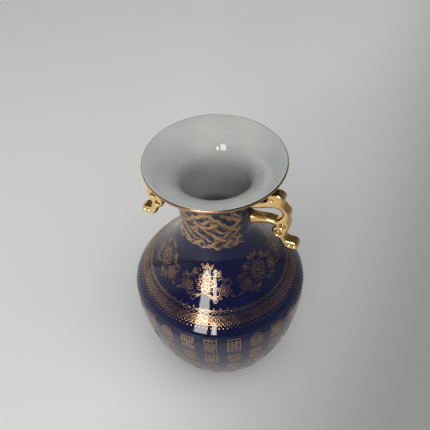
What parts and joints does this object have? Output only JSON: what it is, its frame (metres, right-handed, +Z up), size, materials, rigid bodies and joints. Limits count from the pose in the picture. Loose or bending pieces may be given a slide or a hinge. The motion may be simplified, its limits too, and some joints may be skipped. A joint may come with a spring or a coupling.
{
  "type": "two-handled porcelain vase",
  "caption": "Cobalt-glazed baluster vase with a flared white mouth, straight neck, gilt scroll handles and printed gilt borders, sprays and fret columns.",
  "frame": {"origin": "centre of the plane that the foot ring stands on", "axes": "+Z up along the vase's axis, handles along X, front towards -Y"},
  "size_m": [0.1254, 0.1254, 0.2],
  "materials": {
    "cobalt_glaze": "deep cobalt-blue high-gloss glaze outside, clear glaze over white inside",
    "gilt_porcelain": "bright lustre gold fired over the glaze of a moulded porcelain handle",
    "transfer_gold": "printed overglaze gilding, thin and slightly matt",
    "bare_porcelain": "unglazed white porcelain, smooth turned"
  },
  "bodies": {
    "root": {"foot_ring": "bare_porcelain", "lower_body": "cobalt_glaze", "shoulder": "cobalt_glaze", "neck": "cobalt_glaze", "mouth": "cobalt_glaze", "left_handle": "gilt_porcelain", "right_handle": "gilt_porcelain", "lip_gilding": "transfer_gold", "neck_transfer_front": "transfer_gold", "neck_transfer_back": "transfer_gold", "shoulder_border": "transfer_gold", "shoulder_spray_1": "transfer_gold", "shoulder_spray_2": "transfer_gold", "shoulder_spray_3": "transfer_gold", "shoulder_spray_4": "transfer_gold", "shoulder_spray_5": "transfer_gold", "shoulder_spray_6": "transfer_gold", "fret_column_01": "transfer_gold", "fret_column_02": "transfer_gold", "fret_column_03": "transfer_gold", "fret_column_04": "transfer_gold", "fret_column_05": "transfer_gold", "fret_column_06": "transfer_gold", "fret_column_07": "transfer_gold", "fret_column_08": "transfer_gold", "fret_column_09": "transfer_gold", "fret_column_10": "transfer_gold", "fret_column_11": "transfer_gold", "fret_column_12": "transfer_gold", "fret_column_13": "transfer_gold", "fret_column_14": "transfer_gold", "fret_column_15": "transfer_gold", "fret_column_16": "transfer_gold", "fret_column_17": "transfer_gold", "fret_column_18": "transfer_gold", "fret_column_19": "transfer_gold", "fret_column_20": "transfer_gold", "fret_column_21": "transfer_gold", "fret_column_22": "transfer_gold", "fret_column_23": "transfer_gold", "fret_column_24": "transfer_gold"}
  },
  "joints": []
}
